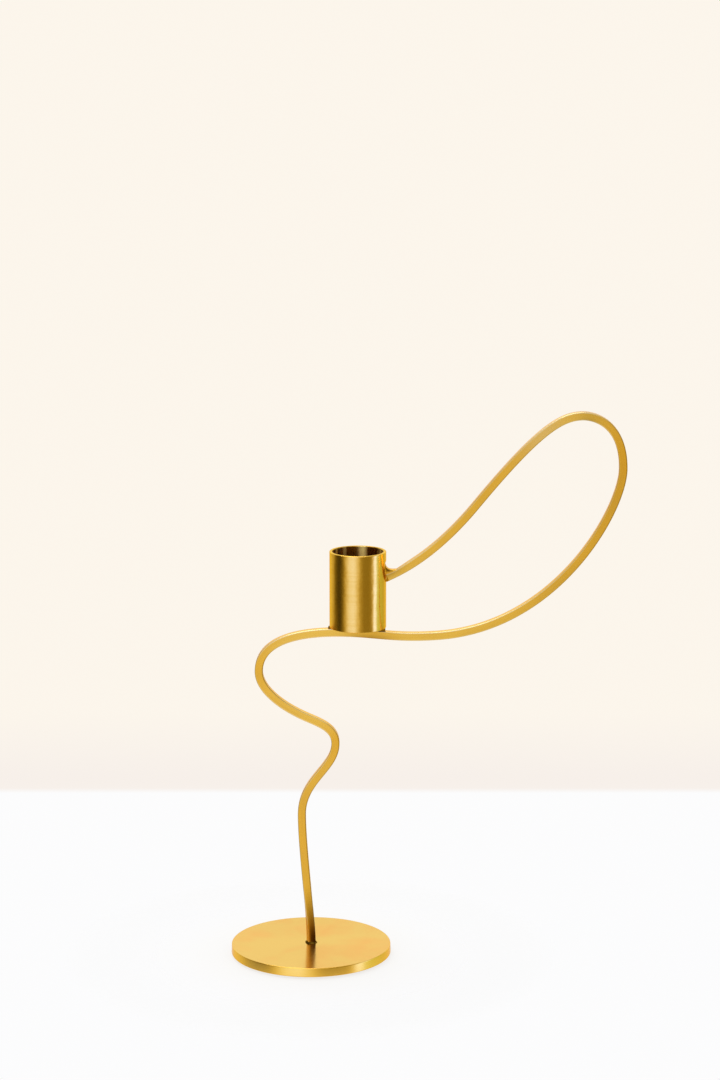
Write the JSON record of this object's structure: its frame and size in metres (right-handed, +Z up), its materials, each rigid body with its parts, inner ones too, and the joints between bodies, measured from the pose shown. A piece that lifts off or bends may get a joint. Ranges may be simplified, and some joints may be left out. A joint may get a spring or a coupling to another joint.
{
  "type": "taper candle holder",
  "caption": "Taper candle holder: a square brass bar bent like a drawn line stands on a round plate, carries a tube cup on its saddle and loops back to the cup's side.",
  "frame": {"origin": "on the table, under the middle of the round base, where the bar's foot stands", "axes": "+Z up; +X towards the large loop, in the plane of the bends; -Y is the front, the side the picture shows"},
  "size_m": [0.1949, 0.08, 0.2755],
  "materials": {
    "satin_brass": "satin brass, finely brushed round the cup and along the bar",
    "base_brass": "satin brass, turned plate with a soft cloudy patina and a clear reflection",
    "braze": "brazing filler, smooth and slightly darker than the bar",
    "felt": "dark grey pressed felt"
  },
  "bodies": {
    "root": {"base_plate": "base_brass", "felt_pad": "felt", "bent_bar": "satin_brass", "foot_braze": "braze", "candle_cup": "satin_brass", "cup_floor": "satin_brass", "seat_braze": "braze", "arrival_braze": "braze"}
  },
  "joints": []
}
